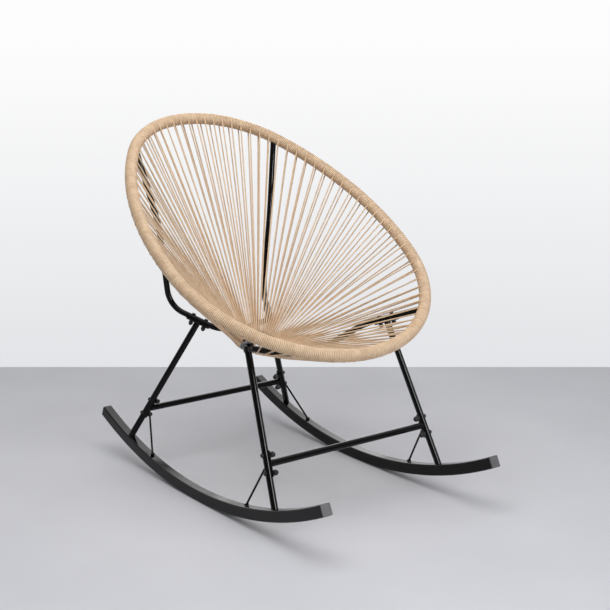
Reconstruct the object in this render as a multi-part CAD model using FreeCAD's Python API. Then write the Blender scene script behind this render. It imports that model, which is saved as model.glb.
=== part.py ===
import FreeCAD, Part
import math
import os

os.makedirs("parts", exist_ok=True)
V = FreeCAD.Vector

# Rocking chair with an egg-shaped corded seat, all sizes in millimetres
# X is across the chair, the chair faces -Y, Z is up, the floor is at Z = 0

# Clearance between curved faces that touch
fit = 0.3

# Rockers: bent rectangular tube with a plug in each end
rocker_radius = 1141.0
rocker_axis_z = 1133.0
rocker_front_angle = 26.4
rocker_rear_angle = 23.8
rocker_width = 25.0
rocker_height = 28.0
rocker_corner = 3.5
rocker_wall = 2.0
rocker_spread = 495.0
plug_cap = 2.0
plug_depth = 14.0

# Rim: an egg of tangent arcs in a plane that leans back, a hoop tube wound with cord
rim_tilt = 32.7
rim_front_y = -337.0
rim_front_z = 389.0
rim_length = 888.0
rim_front_radius = 344.0
rim_side_radius = 684.0
rim_top_radius = 271.0
hoop_dia = 22.0
hoop_wall = 1.2
cord_dia = 3.5
vent_dia = 8.0

# Seat cords: loops from the rim round the seat ring and back
loop_count = 84
loop_crowding = 0.13
loop_hold_angle = 35.0
loops_per_group = 14
led_loops = 2
lead_height = 10.0

# Seat ring under the seat, which leans a little and hangs in the cords
ring_radius = 58.0
ring_dia = 6.0
ring_y = 97.0
ring_z = 328.0
ring_tilt = 15.0
ring_ease = 0.6

# Seat tubes: the front tube crosses under the seat, the back tube rises to the rim at both ends
seat_tube_dia = 15.0
seat_tube_wall = 1.5
front_tube_gap = 32
front_clamp_y = -154.2
front_bend_x = 186.0
front_bend_y = -98.0
front_bend_z = 384.5
front_bend_radius = 45.0
cross_low_z = 326.0
cross_bend_radius = 220.0
back_tube_gap = 9
back_upper_x = 172.0
back_upper_y = 287.5
back_upper_z = 620.0
back_upper_radius = 400.0
back_bend_x = 147.0
back_bend_y = 285.5
back_bend_z = 406.0
back_bend_radius = 62.0
back_clamp_y = 208.5
back_run_x = 84.1
back_run_y = 165.0
back_run_z = 360.9
back_run_radius = 30.0
back_low_y = 176.0
back_low_z = 345.0
back_low_radius = 100.0

# Legs from the rockers to the clamps under the seat tubes
leg_dia = 16.0
leg_wall = 1.5
front_foot_x = 246.0
front_foot_y = -313.6
rear_foot_x = 250.0
rear_foot_y = 321.3

# Stretchers between the legs
stretcher_dia = 16.0
stretcher_wall = 1.2
front_stretcher_z = 155.8
rear_stretcher_z = 141.2

# Clamp plates: curved saddles with two bolts each
plate_half_angle = 62.0
seat_plate_thick = 3.0
seat_plate_length = 64.0
seat_bolt_spacing = 38.0
stretcher_plate_thick = 2.5
stretcher_plate_length = 60.0
stretcher_bolt_spacing = 41.0
rear_plate_rise = 7.0
bolt_dia = 6.0
bolt_hole_gap = 0.2
bolt_head_dia = 10.0
bolt_head_height = 3.5
seat_nut_flats = 10.0
stretcher_nut_flats = 13.0
nut_height_share = 0.65
nut_dome_share = 0.92
washer_gap = 0.3

# Braces: thin rods from the leg joints down to the rockers
brace_dia = 5.0
front_brace_top_z = 156.3
rear_brace_top_z = 150.0
brace_foot_dia = 6.0
brace_foot_length = 9.0
front_brace_y = -205.0
rear_brace_y = 218.7

# Sizes that follow from the ones above
hoop_r = hoop_dia / 2
sleeve_in = hoop_r + fit
sleeve_out = sleeve_in + cord_dia
cord_r = cord_dia / 2
tube_r = seat_tube_dia / 2
leg_r = leg_dia / 2
ring_r = ring_dia / 2
rocker_mid_x = rocker_spread / 2
rocker_top_radius = rocker_radius - rocker_height
front_angle = math.radians(rocker_front_angle)
rear_angle = math.radians(rocker_rear_angle)
front_reach = rocker_radius * math.sin(front_angle) + plug_cap * math.cos(front_angle)
rear_reach = rocker_radius * math.sin(rear_angle) + plug_cap * math.cos(rear_angle)
# The rockers touch the floor at y = 0 while modelling, and the last step centres the box on the floor
floor_z = rocker_axis_z - rocker_radius
centre_shift = V(0, (front_reach - rear_reach) / 2, -floor_z)

nodes = {}


def mirrored(shape):
    return shape.mirror(V(0, 0, 0), V(1, 0, 0))


def flip(point):
    return V(-point.x, point.y, point.z)


def unit(vector):
    return vector / vector.Length


def rod(start, end, radius):
    return Part.makeCylinder(radius, (end - start).Length, start, end - start)


# A path of straight runs joined by tangent arcs, one radius for each inner point
def bent_wire(points, radii):
    edges = []
    last = points[0]
    for before, corner, after, radius in zip(points, points[1:], points[2:], radii):
        into = unit(before - corner)
        out = unit(after - corner)
        half = into.getAngle(out) / 2
        reach = radius / math.tan(half)
        start = corner + into * reach
        end = corner + out * reach
        middle = corner + unit(into + out) * (radius / math.sin(half) - radius)
        edges.append(Part.LineSegment(last, start).toShape())
        edges.append(Part.Arc(start, middle, end).toShape())
        last = end
    edges.append(Part.LineSegment(last, points[-1]).toShape())
    return Part.Wire(edges)


def sweep(wire, radius):
    first = wire.Edges[0]
    start = first.valueAt(first.FirstParameter)
    along = first.tangentAt(first.FirstParameter)
    circle = Part.Wire([Part.makeCircle(radius, start, along)])
    return wire.makePipeShell([circle], True, False)


def pipe(wire, radius, wall):
    return sweep(wire, radius).cut(sweep(wire, radius - wall))


# Rim line: top arc, side arc and front arc, followed by length from the top centre
front_centre = rim_front_radius
top_centre = rim_length - rim_top_radius
centre_span = top_centre - front_centre
front_arm = rim_side_radius - rim_front_radius
top_arm = rim_side_radius - rim_top_radius
side_p = front_centre + (centre_span ** 2 + front_arm ** 2 - top_arm ** 2) / (2 * centre_span)
side_q = -math.sqrt(front_arm ** 2 - (side_p - front_centre) ** 2)
turn_top = math.atan2(-side_q, top_centre - side_p)
turn_side = math.atan2(-side_q, front_centre - side_p)
top_length = rim_top_radius * turn_top
side_length = rim_side_radius * (turn_side - turn_top)
front_length = rim_front_radius * (math.pi - turn_side)
half_rim = top_length + side_length + front_length
tilt = math.radians(rim_tilt)
slope = V(0, math.cos(tilt), math.sin(tilt))
rim_normal = V(0, -math.sin(tilt), math.cos(tilt))
rim_front = V(0, rim_front_y, rim_front_z)


def on_rim_plane(p, q):
    return rim_front + slope * p + V(q, 0, 0)


# The three arcs of the right half: centre, radius, first angle and length before the arc
rim_arcs = [
    (top_centre, 0.0, rim_top_radius, 0.0, 0.0),
    (side_p, side_q, rim_side_radius, turn_top, top_length),
    (front_centre, 0.0, rim_front_radius, turn_side, top_length + side_length),
]


# Point and direction on an arc of the rim at a length from the top centre
def on_arc(arc, length):
    p, q, radius, first, before = arc
    angle = first + (length - before) / radius
    point = on_rim_plane(p + radius * math.cos(angle), q + radius * math.sin(angle))
    along = V(math.cos(angle), 0, 0) - slope * math.sin(angle)
    return point, along


def rim_at(length):
    arc = [a for a in rim_arcs if a[4] <= length][-1]
    return on_arc(arc, length)


# Length from the top centre to a place counted in loops, closer together at the top
def loop_length(count):
    share = count / loop_count
    return 2 * half_rim * (share - loop_crowding * math.sin(4 * math.pi * share) / (4 * math.pi))


# A stretch of the right half of the rim, from one length to another, as a solid bar
def rim_bar(start, end, radius):
    edges = []
    for arc, stop in zip(rim_arcs, [a[4] for a in rim_arcs[1:]] + [half_rim]):
        low = max(start, arc[4])
        high = min(end, stop)
        if low < high:
            points = [on_arc(arc, length)[0] for length in (low, (low + high) / 2, high)]
            edges.append(Part.Arc(*points).toShape())
    return sweep(Part.Wire(edges), radius)


back_at, back_along = rim_at(loop_length(back_tube_gap))
front_at, front_along = rim_at(loop_length(front_tube_gap))

# Back tube: down from the rim, forward through the clamp, across behind the ring and up again
back_upper_at = V(back_upper_x, back_upper_y, back_upper_z)
back_bend_at = V(back_bend_x, back_bend_y, back_bend_z)
back_run_at = V(back_run_x, back_run_y, back_run_z)
back_points = [back_at, back_upper_at, back_bend_at, back_run_at]
back_radii = [back_upper_radius, back_bend_radius, back_run_radius]
back_points = back_points + [V(0, back_low_y, back_low_z)] + [flip(p) for p in reversed(back_points)]
back_wire = bent_wire(back_points, back_radii + [back_low_radius] + back_radii[::-1])

# Front tube: from the rim through the clamp, across under the seat and up the other side
front_bend_at = V(front_bend_x, front_bend_y, front_bend_z)
cross_low = V(0, front_bend_y, cross_low_z)
front_points = [front_at, front_bend_at, cross_low, flip(front_bend_at), flip(front_at)]
front_wire = bent_wire(front_points, [front_bend_radius, cross_bend_radius, front_bend_radius])

# Leg feet on the rocker's top face
def rocker_top_z(y):
    return rocker_axis_z - math.sqrt(rocker_top_radius ** 2 - y ** 2)


front_foot = V(front_foot_x, front_foot_y, rocker_top_z(front_foot_y))
rear_foot = V(rear_foot_x, rear_foot_y, rocker_top_z(rear_foot_y))


def leg_point(foot, top, z):
    return foot + (top - foot) * ((z - foot.z) / (top.z - foot.z))


# A clamp: curved plate, bolts, nuts and the holes that they pass through
def clamp(at, axis, toward, radius, thick, length, spacing, nut_flats):
    axis = unit(axis)
    toward = unit(toward - axis * toward.dot(axis))
    side = axis.cross(toward)
    turn = FreeCAD.Rotation(toward, side, axis, "ZXY")
    place = FreeCAD.Placement(at, turn)
    inner = radius + fit
    outer = inner + thick
    tube = Part.makeCylinder(outer, length, V(0, 0, -length / 2))
    tube = tube.cut(Part.makeCylinder(inner, length, V(0, 0, -length / 2)))
    edge = outer * 1.5
    reach = edge * math.tan(math.radians(plate_half_angle))
    fan = Part.makePolygon([V(0, 0, 0), V(edge, -reach, 0), V(edge, reach, 0), V(0, 0, 0)])
    fan = Part.Face(fan).extrude(V(0, 0, length))
    fan.translate(V(0, 0, -length / 2))
    plate = tube.common(fan)
    bolts = []
    nuts = []
    holes = []
    hole_r = bolt_dia / 2 + bolt_hole_gap
    nut_height = nut_flats * nut_height_share
    nut_dome_dia = nut_flats * nut_dome_share
    for z in (-spacing / 2, spacing / 2):
        head_at = -(radius + washer_gap)
        nut_at = outer + washer_gap
        shank_end = nut_at + nut_height
        head = Part.makeCylinder(bolt_head_dia / 2, bolt_head_height, V(head_at, 0, z), V(-1, 0, 0))
        rim_edges = [e for e in head.Edges if abs(e.CenterOfMass.x - head_at + bolt_head_height) < 0.01]
        head = head.makeFillet(bolt_head_height * 0.4, rim_edges[:1])
        shank = Part.makeCylinder(bolt_dia / 2, shank_end - head_at, V(head_at, 0, z), V(1, 0, 0))
        bolts.append(head.fuse(shank).removeSplitter())
        corner = nut_flats / math.sqrt(3)
        points = [V(nut_at, corner * math.cos(k * math.pi / 3), z + corner * math.sin(k * math.pi / 3))
                  for k in range(7)]
        nut = Part.Face(Part.makePolygon(points)).extrude(V(nut_height, 0, 0))
        dome = Part.makeSphere(nut_dome_dia / 2, V(nut_at + nut_height, 0, z))
        nut = nut.fuse(dome)
        below = Part.makeCylinder(nut_dome_dia, nut_dome_dia, V(nut_at, 0, z), V(-1, 0, 0))
        bore = Part.makeCylinder(hole_r, nut_height + fit, V(nut_at, 0, z), V(1, 0, 0))
        nuts.append(nut.cut(below).cut(bore).removeSplitter())
        holes.append(Part.makeCylinder(hole_r, 2 * nut_at, V(-nut_at, 0, z), V(1, 0, 0)))
    hole = Part.makeCompound(holes)
    plate = plate.cut(hole)
    for shape in [plate, hole] + bolts + nuts:
        shape.Placement = place.multiply(shape.Placement)
    return plate, bolts, nuts, hole


# Clamp points lie on the straight runs of the seat tubes, and the legs run up to them
front_tube_line = front_bend_at - front_at
back_run_line = back_run_at - back_bend_at
front_clamp_on = front_at + front_tube_line * ((front_clamp_y - front_at.y) / front_tube_line.y)
back_clamp_on = back_bend_at + back_run_line * ((back_clamp_y - back_bend_at.y) / back_run_line.y)
front_leg_line = front_clamp_on - front_foot
rear_leg_line = back_clamp_on - rear_foot
front_joint = leg_point(front_foot, front_clamp_on, front_stretcher_z)
rear_joint = leg_point(rear_foot, back_clamp_on, rear_stretcher_z)
rear_plate_at = rear_joint + unit(rear_leg_line) * rear_plate_rise

seat_sizes = (tube_r, seat_plate_thick, seat_plate_length, seat_bolt_spacing, seat_nut_flats)
stretcher_sizes = (leg_r, stretcher_plate_thick, stretcher_plate_length, stretcher_bolt_spacing,
                   stretcher_nut_flats)
clamps = {
    "front_seat": clamp(front_clamp_on, front_tube_line, -front_leg_line, *seat_sizes),
    "rear_seat": clamp(back_clamp_on, back_run_line, -rear_leg_line, *seat_sizes),
    "front_stretcher": clamp(front_joint, front_leg_line, V(-1, 0, 0), *stretcher_sizes),
    "rear_stretcher": clamp(rear_plate_at, rear_leg_line, V(-1, 0, 0), *stretcher_sizes),
}

# Hoop inside the winding, with a vent hole under each seat tube
right_hoop = rim_bar(0, half_rim, hoop_r)
hoop = right_hoop.fuse(mirrored(right_hoop)).removeSplitter()
right_bore = rim_bar(0, half_rim, hoop_r - hoop_wall)
bore = right_bore.fuse(mirrored(right_bore)).removeSplitter()
back_down = unit(back_upper_at - back_at)
front_down = unit(front_tube_line)
vents = []
for at, down in ((back_at, back_down), (front_at, front_down)):
    vent = rod(at, at + down * hoop_dia, vent_dia / 2)
    vents += [vent, mirrored(vent)]
nodes["rim_hoop"] = hoop.cut(bore).cut(Part.makeCompound(vents))

# Winding: a sleeve one cord thick, in four stretches that meet at the seat tubes
notches = []
for at, down in ((back_at, back_down), (front_at, front_down)):
    notch = rod(at, at + down * hoop_dia * 2, tube_r + fit)
    notches += [notch, mirrored(notch)]
notches = Part.makeCompound(notches)


def sleeve(start, end):
    return rim_bar(start, end, sleeve_out).cut(rim_bar(start, end, sleeve_in))


back_length = loop_length(back_tube_gap)
front_at_length = loop_length(front_tube_gap)
top_half = sleeve(0, back_length)
front_half = sleeve(front_at_length, half_rim)
side = sleeve(back_length, front_at_length).cut(notches)
nodes["rim_winding_top"] = top_half.fuse(mirrored(top_half)).removeSplitter().cut(notches)
nodes["rim_winding_front"] = front_half.fuse(mirrored(front_half)).removeSplitter().cut(notches)
nodes["rim_winding_right"] = side
nodes["rim_winding_left"] = mirrored(side)

# Seat ring that the cords loop round
ring_lean = math.radians(ring_tilt)
ring_slope = V(0, math.cos(ring_lean), math.sin(ring_lean))
ring_normal = V(0, -math.sin(ring_lean), math.cos(ring_lean))
ring_centre = V(0, ring_y, ring_z)
nodes["seat_ring"] = Part.makeTorus(ring_radius, ring_r, ring_centre, ring_normal)

# Seat tubes, cut to fit the hoop and drilled for the clamp bolts
grown_hoop = rim_bar(0, half_rim, hoop_r + fit)
grown_hoop = Part.makeCompound([grown_hoop, mirrored(grown_hoop)])
front_holes = [clamps["front_seat"][3], mirrored(clamps["front_seat"][3])]
front_tube = pipe(front_wire, tube_r, seat_tube_wall).cut(grown_hoop)
nodes["front_tube"] = front_tube.cut(Part.makeCompound(front_holes))
rear_holes = [clamps["rear_seat"][3], mirrored(clamps["rear_seat"][3])]
back_tube = pipe(back_wire, tube_r, seat_tube_wall).cut(grown_hoop)
nodes["back_tube"] = back_tube.cut(Part.makeCompound(rear_holes))


# One seat cord: over the rim, down to the ring, round it and back under the rim
# It is drawn in its own plane: first axis from the ring to the rim, second axis upward
def tangent(first, second):
    across = second[0] - first[0]
    up = second[1] - first[1]
    span = math.hypot(across, up)
    angle = math.atan2(up, across) + math.acos((first[2] - second[2]) / span)
    return angle


def on_circle(circle, angle):
    radius = circle[2]
    return circle[0] + radius * math.cos(angle), circle[1] + radius * math.sin(angle)


def cord_loop(index):
    rim_point, rim_along = rim_at(loop_length(index + 0.5))
    turn = 2 * math.pi * (index + 0.5) / loop_count
    ring_point = ring_centre + (V(math.sin(turn), 0, 0) + ring_slope * math.cos(turn)) * ring_radius
    ring_along = V(math.cos(turn), 0, 0) - ring_slope * math.sin(turn)
    away = unit(rim_point - ring_point)
    up = unit(away.cross(rim_along))
    if up.dot(rim_normal) < 0:
        up = up * -1
    square = away.cross(up)
    span = (rim_point - ring_point).Length
    ring_reach = ring_r / abs(square.dot(ring_along)) + ring_ease + cord_r
    rim_reach = sleeve_out / abs(square.dot(rim_along)) + fit + cord_r
    above = [(0, 0, ring_reach), (span, 0, rim_reach)]
    below = [(0, 0, -ring_reach), (span, 0, -rim_reach)]
    hold = math.radians(loop_hold_angle)
    under = hold
    if 0 < front_tube_gap - index <= led_loops:
        # Beside the front tube the lower run stays over it and ends on the winding's inner face
        below[1] = (span - math.sqrt(rim_reach ** 2 - lead_height ** 2), lead_height, 0)
        under = 0
    else:
        # Where the front tube is in the way, the lower run goes under it
        for start, end in zip(front_line, front_line[1:]):
            low, high = square.dot(start - ring_point), square.dot(end - ring_point)
            if low * high <= 0 and low != high:
                at = start + (end - start) * (low / (low - high)) - ring_point
                x, y = at.dot(away), at.dot(up)
                straight = -ring_reach - (rim_reach - ring_reach) * x / span
                tube_reach = tube_r / abs(square.dot(unit(end - start))) + fit + cord_r
                if 0 < x < span and abs(straight - y) < tube_reach:
                    below.insert(1, (x, y, -tube_reach))

    def place(pair):
        return ring_point + away * pair[0] + up * pair[1]

    def arc(circle, start, end):
        points = [place(on_circle(circle, a)) for a in (start, (start + end) / 2, end)]
        return Part.Arc(*points).toShape()

    upper = tangent(above[0], above[1])
    edges = [arc(above[1], upper - hold, upper)]
    edges.append(Part.LineSegment(place(on_circle(above[1], upper)),
                                  place(on_circle(above[0], upper))).toShape())
    angles = [tangent(a, b) for a, b in zip(below, below[1:])]
    edges.append(arc(above[0], upper, angles[0] + math.pi))
    for number, angle in enumerate(angles):
        edges.append(Part.LineSegment(place(on_circle(below[number], angle)),
                                      place(on_circle(below[number + 1], angle))).toShape())
        if number + 1 < len(angles):
            edges.append(arc(below[number + 1], angle, angles[number + 1]))
    if under:
        edges.append(arc(below[-1], angles[-1], angles[-1] + under))
    wire = Part.Wire(edges)
    solid = sweep(wire, cord_r)
    fill = solid.Volume / (math.pi * cord_r ** 2 * wire.Length)
    if abs(fill - 1) > 0.01:
        print("cord", index, "volume against section times length", round(fill, 3))
    return solid, wire.Length


half_count = loop_count // 2
front_line = front_wire.discretize(Distance=cord_dia)
loops = []
cord_length = 0.0
for number in range(half_count):
    solid, length = cord_loop(number)
    loops.append(solid)
    cord_length += 2 * length
print("cord in the seat loops, metres:", round(cord_length / 1000, 1))
for first, place in zip(range(0, half_count, loops_per_group), ("back", "side", "front")):
    group = loops[first:first + loops_per_group]
    nodes["cords_" + place + "_right"] = Part.makeCompound(group)
    nodes["cords_" + place + "_left"] = Part.makeCompound([mirrored(s) for s in group])


# Rockers, bent about an axis over the floor contact, with plugs in the ends
def rocker_bar(shrink, start, end):
    width = rocker_width - 2 * shrink
    height = rocker_height - 2 * shrink
    corner = max(rocker_corner - shrink, 0.5)
    box = Part.makeBox(width, 1, height, V(rocker_mid_x - width / 2, 0, floor_z + shrink))
    box = box.makeFillet(corner, [e for e in box.Edges if abs(e.tangentAt(0).y) > 0.9])
    faces = [f for f in box.Faces if abs(f.CenterOfMass.y) < 1e-6]
    face = faces[0]
    face.rotate(V(0, 0, rocker_axis_z), V(1, 0, 0), math.degrees(start))
    return face.revolve(V(0, 0, rocker_axis_z), V(1, 0, 0), math.degrees(end - start))


rocker = rocker_bar(0, -front_angle, rear_angle)
rocker = rocker.cut(rocker_bar(rocker_wall, -front_angle - 0.01, rear_angle + 0.01))
nodes["rocker_right"] = rocker
nodes["rocker_left"] = mirrored(rocker)
plugs = []
for end, outward in ((-front_angle, -1), (rear_angle, 1)):
    cap_turn = outward * plug_cap / rocker_radius
    depth_turn = -outward * plug_depth / rocker_radius
    cap = rocker_bar(0, min(end, end + cap_turn), max(end, end + cap_turn))
    stub_from, stub_to = sorted((end, end + depth_turn))
    stub = rocker_bar(rocker_wall + fit / 2, stub_from, stub_to)
    plugs.append(cap.fuse(stub).removeSplitter())
nodes["rocker_plugs"] = Part.makeCompound(plugs + [mirrored(p) for p in plugs])

# Legs, shaped to the clamp plate above and the rocker below and drilled for the stretcher bolts
rocker_room = rocker_bar(-fit / 2, -front_angle, rear_angle)


def leg(foot, top, tube_at, tube_line, holes):
    line = unit(top - foot)
    start = foot - line * leg_dia
    solid = rod(start, top, leg_r).cut(rod(start - line, top + line, leg_r - leg_wall))
    plate_out = tube_r + fit + seat_plate_thick + fit
    half = unit(tube_line) * seat_plate_length
    solid = solid.cut(rod(tube_at - half, tube_at + half, plate_out)).cut(rocker_room).cut(holes)
    return max(solid.Solids, key=lambda s: s.Volume)


front_leg = leg(front_foot, front_clamp_on, front_clamp_on, front_tube_line, clamps["front_stretcher"][3])
rear_leg = leg(rear_foot, back_clamp_on, back_clamp_on, back_run_line, clamps["rear_stretcher"][3])
for name, solid in (("front", front_leg), ("rear", rear_leg)):
    nodes[name + "_leg_right"] = solid
    nodes[name + "_leg_left"] = mirrored(solid)

# Clamp plates and their fasteners
for name in clamps:
    plate = clamps[name][0]
    nodes[name + "_plate_right"] = plate
    nodes[name + "_plate_left"] = mirrored(plate)
for place in ("seat", "stretcher"):
    bolts = clamps["front_" + place][1] + clamps["rear_" + place][1]
    nuts = clamps["front_" + place][2] + clamps["rear_" + place][2]
    nodes[place + "_bolts"] = Part.makeCompound(bolts + [mirrored(b) for b in bolts])
    nodes[place + "_nuts"] = Part.makeCompound(nuts + [mirrored(n) for n in nuts])


# Stretchers from plate to plate
def stretcher(joint, leg_line):
    solid = rod(flip(joint), joint, stretcher_dia / 2)
    solid = solid.cut(rod(flip(joint), joint, stretcher_dia / 2 - stretcher_wall))
    room = leg_r + fit + stretcher_plate_thick + fit
    half = unit(leg_line) * stretcher_plate_length
    coping = rod(joint - half, joint + half, room)
    solid = solid.cut(coping).cut(mirrored(coping))
    return max(solid.Solids, key=lambda s: s.Volume)


nodes["front_stretcher"] = stretcher(front_joint, front_leg_line)
nodes["rear_stretcher"] = stretcher(rear_joint, rear_leg_line)

# Braces with a small cross foot on the rocker
feet = []
for name, foot, top, z, y in (("front", front_foot, front_clamp_on, front_brace_top_z, front_brace_y),
                              ("rear", rear_foot, back_clamp_on, rear_brace_top_z, rear_brace_y)):
    upper = leg_point(foot, top, z)
    angle = math.asin(y / rocker_top_radius)
    lift = rocker_top_radius - fit - brace_foot_dia / 2
    low = V(rocker_mid_x, lift * math.sin(angle), rocker_axis_z - lift * math.cos(angle))
    half = V(brace_foot_length / 2, 0, 0)
    feet.append(rod(low - half, low + half, brace_foot_dia / 2))
    solid = rod(low, upper, brace_dia / 2)
    solid = solid.cut(rod(low - half, low + half, brace_foot_dia / 2 + fit))
    line = unit(top - foot) * leg_dia * 3
    solid = solid.cut(rod(upper - line, upper + line, leg_r + fit))
    solid = max(solid.Solids, key=lambda s: s.Volume)
    nodes[name + "_brace_right"] = solid
    nodes[name + "_brace_left"] = mirrored(solid)
nodes["brace_feet"] = Part.makeCompound(feet + [mirrored(f) for f in feet])

# Every piece moves to the box's centre and is written out
for name in nodes:
    shape = nodes[name].copy()
    shape.translate(centre_shift)
    if not shape.isValid():
        print(name, "is not valid")
    shape.exportStep("parts/" + name + ".step")
    box = shape.optimalBoundingBox(False, False)
    print(name, len(shape.Solids), round(shape.Volume), [round(v, 1) for v in (
        box.XMin, box.XMax, box.YMin, box.YMax, box.ZMin, box.ZMax)])
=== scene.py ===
import math

import bpy
import numpy as np
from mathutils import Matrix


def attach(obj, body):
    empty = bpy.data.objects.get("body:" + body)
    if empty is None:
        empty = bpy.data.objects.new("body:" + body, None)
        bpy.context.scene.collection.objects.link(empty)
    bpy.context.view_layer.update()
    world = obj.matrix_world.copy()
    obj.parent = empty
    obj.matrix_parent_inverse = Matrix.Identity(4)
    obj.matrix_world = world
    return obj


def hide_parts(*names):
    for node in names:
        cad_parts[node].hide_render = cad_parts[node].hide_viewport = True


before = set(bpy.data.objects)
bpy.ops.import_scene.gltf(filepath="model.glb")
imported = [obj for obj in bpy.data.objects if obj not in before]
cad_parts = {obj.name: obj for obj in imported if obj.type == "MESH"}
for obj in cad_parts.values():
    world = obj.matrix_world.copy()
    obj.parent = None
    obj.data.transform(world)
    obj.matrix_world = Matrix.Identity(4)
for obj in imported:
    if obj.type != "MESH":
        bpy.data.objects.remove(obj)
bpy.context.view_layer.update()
scene = bpy.context.scene
scene.view_settings.view_transform = "Standard"
rng = np.random.default_rng(84)
print("frame loaded,", len(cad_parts), "pieces")


# a colour as read off a screen, 0 to 255, turned into the linear values a shader takes
def paint(red, green, blue):
    share = np.array([red, green, blue]) / 255
    linear = np.where(share <= 0.04045, share / 12.92, ((share + 0.055) / 1.055) ** 2.4)
    return (*linear.tolist(), 1.0)


# each vector divided by its own length
def unit(vectors):
    return vectors / np.linalg.norm(vectors, axis=-1, keepdims=True)


# a shader group with named sockets, and its two end nodes
def newGroup(name, inputs, outputs):
    group = bpy.data.node_groups.new(name, "ShaderNodeTree")
    for label, kind, value in inputs:
        socket = group.interface.new_socket(label, in_out="INPUT", socket_type=kind)
        if value is not None:
            socket.default_value = value
    for label, kind in outputs:
        group.interface.new_socket(label, in_out="OUTPUT", socket_type=kind)
    return group, group.nodes.new("NodeGroupInput"), group.nodes.new("NodeGroupOutput")


# a node with its settings, each input linked to a socket or set to a value
def addNode(tree, kind, links=None, **settings):
    node = tree.nodes.new(kind)
    for label, value in settings.items():
        setattr(node, label, value)
    for label, source in (links or {}).items():
        socket = node.inputs[label]
        if isinstance(source, bpy.types.NodeSocket):
            tree.links.new(source, socket)
        else:
            socket.default_value = source
    return node


# mottle: two colours mixed by soft noise, and a roughness that wanders with it
def buildMottle():
    group, given, result = newGroup(
        "mottle",
        [("Vector", "NodeSocketVector", None), ("Scale", "NodeSocketFloat", 40.0),
         ("Colour", "NodeSocketColor", None), ("Other", "NodeSocketColor", None),
         ("Rough low", "NodeSocketFloat", 0.3), ("Rough high", "NodeSocketFloat", 0.5)],
        [("Colour", "NodeSocketColor"), ("Roughness", "NodeSocketFloat")])
    noise = addNode(group, "ShaderNodeTexNoise",
                    {"Vector": given.outputs["Vector"], "Scale": given.outputs["Scale"], "Detail": 4.0})
    spread = addNode(group, "ShaderNodeMapRange",
                     {"Value": noise.outputs["Fac"], "From Min": 0.32, "From Max": 0.68})
    blend = addNode(group, "ShaderNodeMix", {0: spread.outputs["Result"], 6: given.outputs["Colour"],
                                             7: given.outputs["Other"]}, data_type="RGBA")
    rough = addNode(group, "ShaderNodeMapRange",
                    {"Value": noise.outputs["Fac"], "From Min": 0.3, "From Max": 0.7,
                     "To Min": given.outputs["Rough low"], "To Max": given.outputs["Rough high"]})
    group.links.new(blend.outputs[2], result.inputs["Colour"])
    group.links.new(rough.outputs["Result"], result.inputs["Roughness"])
    return group


# orange peel: a fine rounded skin with a few specks, as a height
def buildOrangePeel():
    group, given, result = newGroup(
        "orangePeel",
        [("Vector", "NodeSocketVector", None), ("Peel scale", "NodeSocketFloat", 420.0),
         ("Speck scale", "NodeSocketFloat", 900.0), ("Speck share", "NodeSocketFloat", 0.3)],
        [("Height", "NodeSocketFloat")])
    peel = addNode(group, "ShaderNodeTexNoise",
                   {"Vector": given.outputs["Vector"], "Scale": given.outputs["Peel scale"],
                    "Detail": 1.5})
    speck = addNode(group, "ShaderNodeTexVoronoi",
                    {"Vector": given.outputs["Vector"], "Scale": given.outputs["Speck scale"]})
    part = addNode(group, "ShaderNodeMath",
                   {0: speck.outputs["Distance"], 1: given.outputs["Speck share"]},
                   operation="MULTIPLY")
    total = addNode(group, "ShaderNodeMath", {0: peel.outputs["Fac"], 1: part.outputs["Value"]},
                    operation="ADD")
    group.links.new(total.outputs["Value"], result.inputs["Height"])
    return group


mottle = buildMottle()
orangePeel = buildOrangePeel()


def newMaterial(name):
    material = bpy.data.materials.new(name)
    material.use_nodes = True
    tree = material.node_tree
    return material, tree, tree.nodes["Principled BSDF"]


def groupNode(tree, group, links):
    return addNode(tree, "ShaderNodeGroup", links, node_tree=group)


# how much finer the specks are than the peel
speckFiner = 2.2
coats = {
    "blackCoat": {"colour": paint(8, 8, 9), "other": paint(13, 13, 14), "scale": 30.0,
                  "rough": (0.10, 0.16), "peel": 520.0, "depth": 0.00003, "shine": 0.2},
    "boltCoat": {"colour": paint(24, 24, 26), "other": paint(38, 38, 40), "scale": 160.0,
                 "rough": (0.20, 0.32), "peel": 900.0, "depth": 0.00003, "shine": 0.35},
    "plugPlastic": {"colour": paint(88, 88, 90), "other": paint(102, 102, 103), "scale": 90.0,
                    "rough": (0.40, 0.55), "peel": 1500.0, "depth": 0.00004, "shine": 0.4},
}


# a coat: mottled colour and roughness, with the orange peel as bump
def coatMaterial(name):
    finish = coats[name]
    material, tree, shader = newMaterial(name)
    place = tree.nodes.new("ShaderNodeTexCoord").outputs["Object"]
    tone = groupNode(tree, mottle, {"Vector": place, "Scale": finish["scale"], "Colour": finish["colour"],
                                    "Other": finish["other"], "Rough low": finish["rough"][0],
                                    "Rough high": finish["rough"][1]})
    skin = groupNode(tree, orangePeel, {"Vector": place, "Peel scale": finish["peel"],
                                        "Speck scale": finish["peel"] * speckFiner})
    bump = addNode(tree, "ShaderNodeBump", {"Height": skin.outputs["Height"], "Distance": finish["depth"]})
    tree.links.new(tone.outputs["Colour"], shader.inputs["Base Color"])
    tree.links.new(tone.outputs["Roughness"], shader.inputs["Roughness"])
    tree.links.new(bump.outputs["Normal"], shader.inputs["Normal"])
    shader.inputs["Specular IOR Level"].default_value = finish["shine"]
    return material


# cord plastic: the tone changes from strand to strand and, on the winding, carries painted shade in the
# valleys between turns; fine drawn lines run along each cord
cordFinish = {"pale": paint(234, 205, 171), "deep": paint(217, 185, 150), "rough": (0.42, 0.58),
              "lines": (1.2, 9.0, 1.0), "lineScale": 1.6, "depth": 0.00012, "cloud": 55.0,
              "shade": (0.42, 1.04)}


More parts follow.
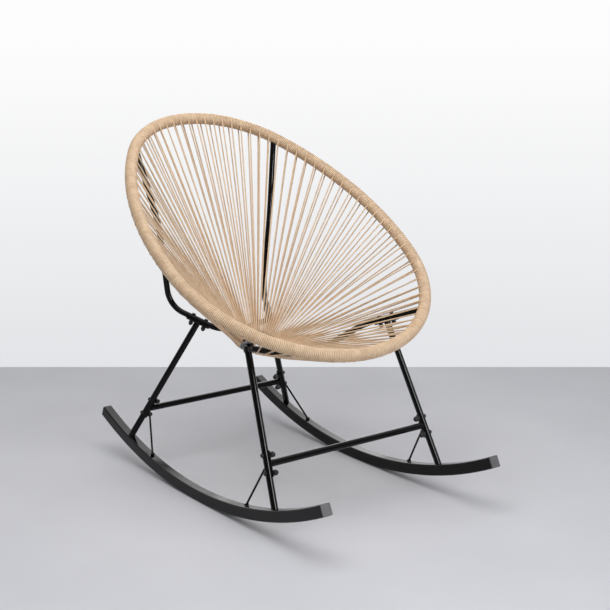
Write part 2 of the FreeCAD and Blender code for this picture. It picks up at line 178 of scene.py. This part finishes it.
def cordMaterial():
    material, tree, shader = newMaterial("beigeCord")
    run = tree.nodes.new("ShaderNodeUVMap")
    run.uv_map = "cordRun"
    tone = tree.nodes.new("ShaderNodeAttribute")
    tone.attribute_name = "tone"
    cloud = groupNode(tree, mottle, {"Vector": tree.nodes.new("ShaderNodeTexCoord").outputs["Object"],
                                     "Scale": cordFinish["cloud"],
                                     "Colour": cordFinish["pale"], "Other": cordFinish["deep"],
                                     "Rough low": cordFinish["rough"][0],
                                     "Rough high": cordFinish["rough"][1]})
    shade = addNode(tree, "ShaderNodeMapRange",
                    {"Value": tone.outputs["Fac"], "To Min": cordFinish["shade"][0],
                     "To Max": cordFinish["shade"][1]})
    grey = addNode(tree, "ShaderNodeCombineColor", {"Red": shade.outputs["Result"],
                                                    "Green": shade.outputs["Result"],
                                                    "Blue": shade.outputs["Result"]})
    strand = addNode(tree, "ShaderNodeMix", {0: 1.0, 6: cloud.outputs["Colour"], 7: grey.outputs["Color"]},
                     data_type="RGBA", blend_type="MULTIPLY")
    stretch = addNode(tree, "ShaderNodeMapping", {"Vector": run.outputs["UV"],
                                                  "Scale": cordFinish["lines"]})
    lines = addNode(tree, "ShaderNodeTexNoise",
                    {"Vector": stretch.outputs["Vector"], "Scale": cordFinish["lineScale"], "Detail": 3.0})
    bump = addNode(tree, "ShaderNodeBump",
                   {"Height": lines.outputs["Fac"], "Distance": cordFinish["depth"]})
    tree.links.new(strand.outputs[2], shader.inputs["Base Color"])
    tree.links.new(cloud.outputs["Roughness"], shader.inputs["Roughness"])
    tree.links.new(bump.outputs["Normal"], shader.inputs["Normal"])
    return material


blackCoat = coatMaterial("blackCoat")
boltCoat = coatMaterial("boltCoat")
plugPlastic = coatMaterial("plugPlastic")
beigeCord = cordMaterial()
for name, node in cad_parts.items():
    finish = blackCoat
    if name.endswith(("_bolts", "_nuts")):
        finish = boltCoat
    if name == "rocker_plugs":
        finish = plugPlastic
    for slot in node.material_slots:
        slot.material = finish
print("finishes set")


# a mesh from its points, faces, a UV pair for each face corner and a tone for each point
def makePiece(name, points, faces, uv, tone, material, nodes):
    mesh = bpy.data.meshes.new(name)
    mesh.from_pydata(points.reshape(-1, 3).tolist(), [], faces)
    mesh.uv_layers.new(name="cordRun").data.foreach_set("uv", uv.astype(np.float32).ravel())
    tones = mesh.attributes.new("tone", "FLOAT", "POINT")
    tones.data.foreach_set("value", tone.astype(np.float32).ravel())
    mesh.shade_smooth()
    mesh.materials.append(material)
    piece = bpy.data.objects.new(name, mesh)
    scene.collection.objects.link(piece)
    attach(piece, "root")
    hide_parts(*nodes)


rim = {"tilt": math.radians(32.7), "frontY": -0.31358, "frontZ": 0.397, "length": 0.888,
       "frontRadius": 0.344, "sideRadius": 0.684, "topRadius": 0.271,
       "hoopRadius": 0.011, "sleeve": 0.0148}
slopeWay = np.array([0.0, math.cos(rim["tilt"]), math.sin(rim["tilt"])])
faceWay = np.array([0.0, -math.sin(rim["tilt"]), math.cos(rim["tilt"])])
topCentre = rim["length"] - rim["topRadius"]
centreSpan = topCentre - rim["frontRadius"]
frontArm = rim["sideRadius"] - rim["frontRadius"]
topArm = rim["sideRadius"] - rim["topRadius"]
# the side arc's centre is as far from the centre of each end arc as their radii differ
sideP = rim["frontRadius"] + (centreSpan ** 2 + frontArm ** 2 - topArm ** 2) / (2 * centreSpan)
sideQ = -math.sqrt(frontArm ** 2 - (sideP - rim["frontRadius"]) ** 2)
turnTop = math.atan2(-sideQ, topCentre - sideP)
turnSide = math.atan2(-sideQ, rim["frontRadius"] - sideP)
arcRadius = np.array([rim["topRadius"], rim["sideRadius"], rim["frontRadius"]])
arcFirst = np.array([0.0, turnTop, turnSide])
arcCentreP = np.array([topCentre, sideP, rim["frontRadius"]])
arcCentreQ = np.array([0.0, sideQ, 0.0])
arcSize = arcRadius * np.array([turnTop, turnSide - turnTop, math.pi - turnSide])
arcStart = np.concatenate([[0.0], np.cumsum(arcSize)[:2]])
halfRim = arcSize.sum()
fullRim = 2 * halfRim


# the egg: a top arc, a side arc and a front arc that run into each other, on a leaning plane;
# gives the point, the way along and the way outward at each length from the top centre
def rimLine(length):
    length = np.mod(length, fullRim)
    onRight = length <= halfRim
    near = np.where(onRight, length, fullRim - length)
    arc = np.searchsorted(arcStart, near, side="right") - 1
    angle = arcFirst[arc] + (near - arcStart[arc]) / arcRadius[arc]
    side = np.where(onRight, 1.0, -1.0)
    p = arcCentreP[arc] + arcRadius[arc] * np.cos(angle)
    q = side * (arcCentreQ[arc] + arcRadius[arc] * np.sin(angle))
    across = np.array([1.0, 0.0, 0.0])
    start = np.array([0.0, rim["frontY"], rim["frontZ"]])
    point = start + p[..., None] * slopeWay + q[..., None] * across
    along = np.cos(angle)[..., None] * across - (side * np.sin(angle))[..., None] * slopeWay
    outward = (side * np.sin(angle))[..., None] * across + np.cos(angle)[..., None] * slopeWay
    return point, along, outward


# the groove values set how dark the painted shade in the valleys between turns is
winding = {"turns": 600, "around": 20, "phases": (-0.5, -0.41, -0.24, 0.0, 0.24, 0.41),
           "valley": 0.62, "wander": 0.025, "slowShare": 0.6, "lift": 0.00012, "paintedGrooveShade": 1.2,
           "paintedGrooveShadeCurve": 1.6, "turnLength": 0.093, "tone": 0.94, "slowTone": 0.02, "quickTone": 0.03,
           "slipRates": (2.31, 0.83), "liftRate": 1.77, "toneRates": (0.37, 1.9)}


# one cord wound round the egg in touching turns: the bar's radius rises and falls as a row of
# half circles along its length, and each row slips back one turn on its way round
def buildWinding():
    turns, around = winding["turns"], winding["around"]
    phases = np.array(winding["phases"])
    perTurn = len(phases)
    rows = turns * perTurn
    pitch = fullRim / turns
    turn = np.repeat(np.arange(turns), perTurn)[:, None]
    phase = np.tile(phases, turns)[:, None]
    share = np.arange(around)[None, :] / around
    cordRun = turn - share
    quick, slow = winding["slipRates"]
    slip = winding["wander"] * np.sin(cordRun * quick)
    slip = slip + winding["wander"] * winding["slowShare"] * np.sin(cordRun * slow + 1.0)
    length = (turn + phase - share + slip) * pitch
    height = np.sqrt(np.clip(1 - (2 * np.abs(phase)) ** 2, 0, 1))
    depth = rim["sleeve"] - rim["hoopRadius"]
    radius = rim["sleeve"] - depth * winding["valley"] * (1 - height)
    radius = radius + winding["lift"] * np.sin(cordRun * winding["liftRate"])
    point, _, outward = rimLine(length)
    angle = 2 * np.pi * share
    ray = np.cos(angle)[..., None] * outward + np.sin(angle)[..., None] * faceWay
    points = point + radius[..., None] * ray
    number = np.arange(rows * around).reshape(rows, around)
    left = number
    right = np.concatenate([number[:, 1:], np.roll(number[:, :1], perTurn, axis=0)], axis=1)
    faces = np.stack([left, right, np.roll(right, -1, axis=0), np.roll(left, -1, axis=0)], axis=-1)
    u = np.broadcast_to(cordRun, (rows, around)) * winding["turnLength"]
    v = np.broadcast_to(phase + 0.5, (rows, around))
    step = winding["turnLength"] / around
    vNext = np.broadcast_to(np.tile(np.roll(phases, -1), turns)[:, None] + 0.5, (rows, around))
    vNext = np.where(vNext < v, 1.0, vNext)
    uv = np.stack([np.stack([u, v], -1), np.stack([u - step, v], -1),
                   np.stack([u - step, vNext], -1), np.stack([u, vNext], -1)], axis=2)
    tone = winding["tone"] + winding["slowTone"] * np.sin(cordRun * winding["toneRates"][0])
    tone = tone + winding["quickTone"] * np.sin(cordRun * winding["toneRates"][1] + 0.4)
    # painted shade: the tone is darkened towards each turn's edges, in the valleys between turns, where
    # shade falls
    tone = tone - winding["paintedGrooveShade"] * (1 - height) ** winding["paintedGrooveShadeCurve"]
    nodes = ["rim_winding_" + place for place in ("top", "right", "left", "front")]
    faces = faces.reshape(-1, 4).tolist()
    makePiece("rimWinding", points, faces, uv, tone, beigeCord, nodes)


buildWinding()
print("rim wound")


seatCord = {"loops": 84, "crowding": 0.13, "radius": 0.00175, "sit": 0.0139, "hold": math.radians(5),
            "tuck": math.radians(16), "sink": 0.0036, "fit": 0.0003, "around": 10,
            "tubeCount": 32, "ledLoops": 2, "leadHeight": 0.010, "toneSpan": (0.72, 1.0)}
loopSteps = {"hold": 9, "ring": 13, "run": 14, "tube": 6, "besideTube": 5, "tubeBend": 60}
seatRing = {"radius": 0.058, "bar": 0.003, "ease": 0.0006, "y": 0.12042, "z": 0.336,
            "tilt": math.radians(15)}
frontTube = {"bend": (0.186, -0.07458, 0.3925), "bendRadius": 0.045, "low": (0.0, -0.07458, 0.334),
             "lowRadius": 0.220, "radius": 0.0075, "leastSlant": 0.3}


# how far along the rim a loop stands: an even share of the whole, moved by a sine, so that loops
# are closer together at the top and the front than at the sides
def loopLength(count):
    share = count / seatCord["loops"]
    return fullRim * (share - seatCord["crowding"] * np.sin(4 * np.pi * share) / (4 * np.pi))


# products summed over the last axis
def dot(first, second):
    return (first * second).sum(-1)


# the line that touches two circles on the side of their signed radius, as an angle
def tangentAngle(x0, y0, r0, x1, y1, r1):
    span = np.hypot(x1 - x0, y1 - y0)
    return np.arctan2(y1 - y0, x1 - x0) + np.arccos((r0 - r1) / span)


# the point of a circle at an angle
def onCircle(x, y, radius, angle):
    return np.stack([x + radius * np.cos(angle), y + radius * np.sin(angle)], -1)


# a line of straight runs whose corners are rounded by arcs, as points in order
def bentLine(points, radii, steps):
    line = [points[0]]
    for before, corner, after, radius in zip(points, points[1:], points[2:], radii):
        into, out = unit(before - corner), unit(after - corner)
        half = np.arccos(into @ out) / 2
        centre = corner + unit(into + out) * radius / np.sin(half)
        first = unit(corner + into * radius / np.tan(half) - centre)
        last = unit(corner + out * radius / np.tan(half) - centre)
        share = np.linspace(0, 1, steps)[:, None]
        wide = np.pi - 2 * half
        ray = (np.sin((1 - share) * wide) * first + np.sin(share * wide) * last) / np.sin(wide)
        line.extend(centre + radius * ray)
    return np.array(line + [points[-1]])


# where each loop's plane meets the front tube close to the loop's straight lower run:
# the place across and up in that plane, how far round the tube the cord has to go, and if it must
def tubeInWay(ringPoint, away, up, square, span, ringReach, rimReach):
    tubeEnd, _, _ = rimLine(loopLength(np.array([float(seatCord["tubeCount"])])))
    flip = np.array([-1.0, 1.0, 1.0])
    bend, low = np.array(frontTube["bend"]), np.array(frontTube["low"])
    line = bentLine([tubeEnd[0], bend, low, bend * flip, tubeEnd[0] * flip],
                    [frontTube["bendRadius"], frontTube["lowRadius"], frontTube["bendRadius"]],
                    loopSteps["tubeBend"])
    start, step = line[:-1], np.diff(line, axis=0)
    ahead = square @ start.T - dot(square, ringPoint)[:, None]
    rise = square @ step.T
    tiny = 1e-12
    share = -ahead / np.where(np.abs(rise) < tiny, tiny, rise)
    at = start[None] + share[..., None] * step[None] - ringPoint[:, None, :]
    x, y = dot(at, away[:, None, :]), dot(at, up[:, None, :])
    straight = -ringReach[:, None] - (rimReach - ringReach)[:, None] * x / span[:, None]
    reach = frontTube["radius"] / np.maximum(np.abs(square @ unit(step).T), frontTube["leastSlant"])
    reach = reach + seatCord["fit"] + seatCord["radius"]
    near = (share >= 0) & (share < 1) & (x > 0) & (x < span[:, None]) & (np.abs(straight - y) < reach)
    first = near.argmax(1)
    row = np.arange(len(span))
    return x[row, first], y[row, first], reach[row, first], near.any(1)


# every loop in its own plane: from the winding straight to the ring, round it and straight back to
# the winding, under the front tube where that is in the way; beside the tube the lower run stays
# over it and ends on the winding's inner face
def loopPaths():
    count = np.arange(seatCord["loops"]) + 0.5
    rimPoint, rimAlong, _ = rimLine(loopLength(count))
    turn = (2 * np.pi * count / seatCord["loops"])[:, None]
    across = np.array([1.0, 0.0, 0.0])
    lean = np.array([0.0, math.cos(seatRing["tilt"]), math.sin(seatRing["tilt"])])
    ringCentre = np.array([0, seatRing["y"], seatRing["z"]])
    ringPoint = ringCentre + seatRing["radius"] * (np.sin(turn) * across + np.cos(turn) * lean)
    ringAlong = np.cos(turn) * across - np.sin(turn) * lean
    away = unit(rimPoint - ringPoint)
    up = unit(np.cross(away, rimAlong))
    up = up * np.sign(dot(up, faceWay))[:, None]
    square = np.cross(away, up)
    span = np.linalg.norm(rimPoint - ringPoint, axis=-1)
    ringReach = seatRing["bar"] / np.abs(dot(square, ringAlong)) + seatRing["ease"] + seatCord["radius"]
    rimReach = seatCord["sit"] / np.abs(dot(square, rimAlong))
    tubeX, tubeY, tubeReach, inWay = tubeInWay(ringPoint, away, up, square, span, ringReach, rimReach)
    fromTube = seatCord["tubeCount"] - np.minimum(count, seatCord["loops"] - count)
    led = (fromTube > 0) & (fromTube < seatCord["ledLoops"])
    inWay = inWay & ~led
    zero = 0 * span

    # even steps from one angle to the other
    def sweepAngle(start, end, steps):
        return start[:, None] + (end - start)[:, None] * np.linspace(0, 1, steps)[None, :]

    # points on a circle, drawn in towards its centre by the sink
    def arcOn(x, y, radius, angles, sink=0.0):
        return onCircle(x[:, None], y[:, None], radius[:, None] - np.sign(radius)[:, None] * sink, angles)

    # even points between two ends, without the ends
    def lineBetween(start, end, steps):
        share = np.linspace(0, 1, steps + 2)[1:-1][None, :, None]
        return start[:, None, :] * (1 - share) + end[:, None, :] * share

    leadX = span - np.sqrt(rimReach ** 2 - seatCord["leadHeight"] ** 2)
    endX, endY = np.where(led, leadX, span), np.where(led, seatCord["leadHeight"], 0)
    endReach = np.where(led, 0, -rimReach)
    upper = tangentAngle(zero, zero, ringReach, span, zero, rimReach)
    lowerA = tangentAngle(zero, zero, -ringReach, np.where(inWay, tubeX, endX),
                          np.where(inWay, tubeY, endY), np.where(inWay, -tubeReach, endReach))
    lowerB = tangentAngle(np.where(inWay, tubeX, 0), np.where(inWay, tubeY, 0),
                          np.where(inWay, -tubeReach, -ringReach), endX, endY, endReach)
    holdSteps = loopSteps["hold"]
    hold, tuck = seatCord["hold"], seatCord["tuck"]
    ease = np.clip(np.linspace(0, 1, holdSteps) * (hold + tuck) / tuck, 0, 1)
    sinkIn = seatCord["sink"] * (1 - ease * ease * (3 - 2 * ease))
    overRim = arcOn(span, zero, rimReach, sweepAngle(upper - hold - tuck, upper, holdSteps), sinkIn)
    roundRing = arcOn(zero, zero, ringReach, sweepAngle(upper, lowerA + np.pi, loopSteps["ring"]))
    underRim = arcOn(span, zero, -rimReach, sweepAngle(lowerB, lowerB + hold + tuck, holdSteps),
                     sinkIn[::-1])
    leadEnd = np.stack([endX, endY], -1)
    leadOn = leadEnd + seatCord["sink"] * unit(leadEnd - roundRing[:, -1])
    underRim = np.where(led[:, None, None], lineBetween(leadEnd, leadOn, holdSteps), underRim)
    ringEnd, rimStart = roundRing[:, -1], underRim[:, 0]
    tubeArc = arcOn(tubeX, tubeY, -tubeReach, sweepAngle(lowerA, lowerB, loopSteps["tube"]))
    besideSteps = loopSteps["besideTube"]
    bent = np.concatenate([lineBetween(ringEnd, tubeArc[:, 0], besideSteps), tubeArc,
                           lineBetween(tubeArc[:, -1], rimStart, besideSteps)], axis=1)
    plain = lineBetween(ringEnd, rimStart, bent.shape[1])
    lowRun = np.where(inWay[:, None, None], bent, plain)
    highRun = lineBetween(overRim[:, -1], roundRing[:, 0], loopSteps["run"])
    flat = np.concatenate([overRim, highRun, roundRing, lowRun, underRim], axis=1)
    path = ringPoint[:, None, :] + flat[..., :1] * away[:, None, :] + flat[..., 1:] * up[:, None, :]
    return path, square


# each loop is a round profile carried along its path, with the ends closed
def buildSeatCords():
    path, square = loopPaths()
    loops, steps, around = path.shape[0], path.shape[1], seatCord["around"]
    way = unit(np.gradient(path, axis=1))
    side = np.broadcast_to(square[:, None, :], path.shape)
    rise = np.cross(way, side)
    angle = 2 * np.pi * np.arange(around) / around
    ring = np.cos(angle)[:, None] * side[:, :, None, :] + np.sin(angle)[:, None] * rise[:, :, None, :]
    points = path[:, :, None, :] + seatCord["radius"] * ring
    pace = np.linalg.norm(np.diff(path, axis=1), axis=-1)
    run = np.concatenate([np.zeros((loops, 1)), np.cumsum(pace, 1)], 1)
    tone = rng.uniform(*seatCord["toneSpan"], loops)
    tone = np.broadcast_to(tone[:, None, None], (loops, steps, around))
    groups = ["cords_back_right", "cords_side_right", "cords_front_right",
              "cords_front_left", "cords_side_left", "cords_back_left"]
    many = loops // len(groups)
    for place, node in enumerate(groups):
        first, last = place * many, (place + 1) * many
        number = np.arange(many * steps * around).reshape(many, steps, around)
        turned = np.roll(number, -1, axis=2)
        quads = np.stack([number[:, :-1], turned[:, :-1], turned[:, 1:], number[:, 1:]], -1).reshape(-1, 4)
        caps = np.concatenate([number[:, 0, ::-1], number[:, -1]], 0)
        u = np.broadcast_to(run[first:last, :, None], (many, steps, around))
        v = np.broadcast_to(np.arange(around) / around, (many, steps, around))
        vNext = v + 1 / around
        uv = np.stack([np.stack([u[:, :-1], v[:, :-1]], -1), np.stack([u[:, :-1], vNext[:, :-1]], -1),
                       np.stack([u[:, 1:], vNext[:, 1:]], -1), np.stack([u[:, 1:], v[:, 1:]], -1)], 3)
        uv = np.concatenate([uv.reshape(-1, 2), np.zeros((caps.size, 2))], 0)
        name = "seatCords" + "".join(word.capitalize() for word in node.split("_")[1:])
        faces = quads.tolist() + caps.tolist()
        makePiece(name, points[first:last], faces, uv, tone[first:last], beigeCord, [node])
    print("seat corded,", loops, "loops,", round(float(run[:, -1].sum()), 1), "m of cord")


buildSeatCords()


view = {"place": (-1.8117, -2.4827, 1.1485), "down": math.radians(77.234), "turn": math.radians(-36.96),
        "lens": 76.09, "sensor": 36.0, "floorEnd": 4.136}
camera = bpy.data.objects.new("photoView", bpy.data.cameras.new("photoView"))
camera.data.lens = view["lens"]
camera.data.sensor_width = view["sensor"]
camera.location = view["place"]
camera.rotation_euler = (view["down"], 0.0, view["turn"])
scene.collection.objects.link(camera)
scene.camera = camera

ahead = np.array([-math.sin(view["turn"]), math.cos(view["turn"]), 0.0])
beside = np.array([ahead[1], -ahead[0], 0.0])
floor = {"near": 6.0, "wide": 5.0, "shine": 0.05, "rough": (0.6, 0.75), "scale": 3.0,
         "colour": paint(219, 220, 226), "other": paint(215, 216, 222)}


# the floor is one flat sheet that stops where the photograph's wall stands
def buildFloor():
    far = np.array([view["place"][0], view["place"][1], 0.0]) + ahead * view["floorEnd"]
    side, depth = beside * floor["wide"], ahead * floor["near"]
    corners = [far - side - depth, far + side - depth, far + side, far - side]
    mesh = bpy.data.meshes.new("paleFloor")
    mesh.from_pydata([corner.tolist() for corner in corners], [], [(0, 1, 2, 3)])
    material, tree, shader = newMaterial("paleFloor")
    place = tree.nodes.new("ShaderNodeTexCoord").outputs["Object"]
    tone = groupNode(tree, mottle, {"Vector": place, "Scale": floor["scale"], "Colour": floor["colour"],
                                    "Other": floor["other"], "Rough low": floor["rough"][0],
                                    "Rough high": floor["rough"][1]})
    tree.links.new(tone.outputs["Colour"], shader.inputs["Base Color"])
    tree.links.new(tone.outputs["Roughness"], shader.inputs["Roughness"])
    shader.inputs["Specular IOR Level"].default_value = floor["shine"]
    mesh.materials.append(material)
    sheet = bpy.data.objects.new("paleFloor", mesh)
    scene.collection.objects.link(sheet)


buildFloor()

studio = {"sky": 0.35, "wallLow": paint(227, 228, 231), "wallHigh": paint(253, 253, 253),
          "wallSpan": (-0.26, -0.02), "dimSide": 0.15, "dimSpan": (-0.25, 0.25), "aim": (0.0, 0.0, 0.45),
          "top": {"power": 42.0, "wide": 2.4, "tall": 2.0, "place": (-0.6, -0.6, 2.8), "gloss": False},
          "front": {"power": 18.0, "wide": 0.7, "tall": 1.4, "place": (0.0, -2.8, 1.25), "gloss": False},
          "strip": {"power": 70.0, "wide": 0.6, "tall": 1.7, "place": (0.25, -2.9, 1.1), "gloss": True},
          "rear": {"power": 38.0, "wide": 2.4, "tall": 3.0, "place": (1.25, 1.9, 1.9), "gloss": True}}


# a soft lamp above and one in front, and two that only show as highlights; the wall behind is painted
# on the world, paler towards its top, and only the camera, reflections and clear things see it;
# in reflections the side of the room that faces the wall is dim
def buildLights():
    for label in ("top", "front", "strip", "rear"):
        lampKit = studio[label]
        data = bpy.data.lights.new(label + "Soft", "AREA")
        data.shape = "RECTANGLE"
        data.energy = lampKit["power"]
        data.size, data.size_y = lampKit["wide"], lampKit["tall"]
        lamp = bpy.data.objects.new(label + "Soft", data)
        lamp.location = lampKit["place"]
        lamp.visible_diffuse = not lampKit["gloss"]
        lamp.visible_camera = False
        scene.collection.objects.link(lamp)
        aim = np.array(studio["aim"]) - np.array(lampKit["place"])
        pitch = math.atan2(math.hypot(aim[0], aim[1]), -aim[2])
        lamp.rotation_euler = (pitch, 0.0, math.atan2(-aim[0], aim[1]))
    world = bpy.data.worlds.new("studioSky")
    scene.world = world
    world.use_nodes = True
    tree = world.node_tree
    tree.nodes["Background"].inputs["Strength"].default_value = studio["sky"]
    tree.nodes["Background"].inputs["Color"].default_value = (1.0, 1.0, 1.0, 1.0)
    direction = tree.nodes.new("ShaderNodeTexCoord").outputs["Generated"]
    height = addNode(tree, "ShaderNodeSeparateXYZ", {"Vector": direction})
    share = addNode(tree, "ShaderNodeMapRange",
                    {"Value": height.outputs["Z"], "From Min": studio["wallSpan"][0],
                     "From Max": studio["wallSpan"][1]})
    wallTone = addNode(tree, "ShaderNodeMix", {0: share.outputs["Result"], 6: studio["wallLow"],
                                               7: studio["wallHigh"]}, data_type="RGBA")
    rays = tree.nodes.new("ShaderNodeLightPath")
    facing = addNode(tree, "ShaderNodeVectorMath", {0: direction, 1: tuple(ahead)},
                     operation="DOT_PRODUCT")
    mirrored = addNode(tree, "ShaderNodeMapRange",
                       {"Value": facing.outputs["Value"], "From Min": studio["dimSpan"][0],
                        "From Max": studio["dimSpan"][1], "To Min": studio["dimSide"]})
    direct = addNode(tree, "ShaderNodeMath",
                     {0: rays.outputs["Is Camera Ray"], 1: rays.outputs["Is Transmission Ray"]},
                     operation="MAXIMUM")
    level = addNode(tree, "ShaderNodeMath", {0: direct.outputs["Value"], 1: mirrored.outputs["Result"]},
                    operation="MAXIMUM")
    wall = addNode(tree, "ShaderNodeBackground",
                   {"Color": wallTone.outputs[2], "Strength": level.outputs["Value"]})
    seen = addNode(tree, "ShaderNodeMath", {0: direct.outputs["Value"], 1: rays.outputs["Is Glossy Ray"]},
                   operation="MAXIMUM")
    pick = tree.nodes.new("ShaderNodeMixShader")
    tree.links.new(seen.outputs["Value"], pick.inputs[0])
    tree.links.new(tree.nodes["Background"].outputs[0], pick.inputs[1])
    tree.links.new(wall.outputs[0], pick.inputs[2])
    tree.links.new(pick.outputs[0], tree.nodes["World Output"].inputs["Surface"])


buildLights()
print("studio lit")
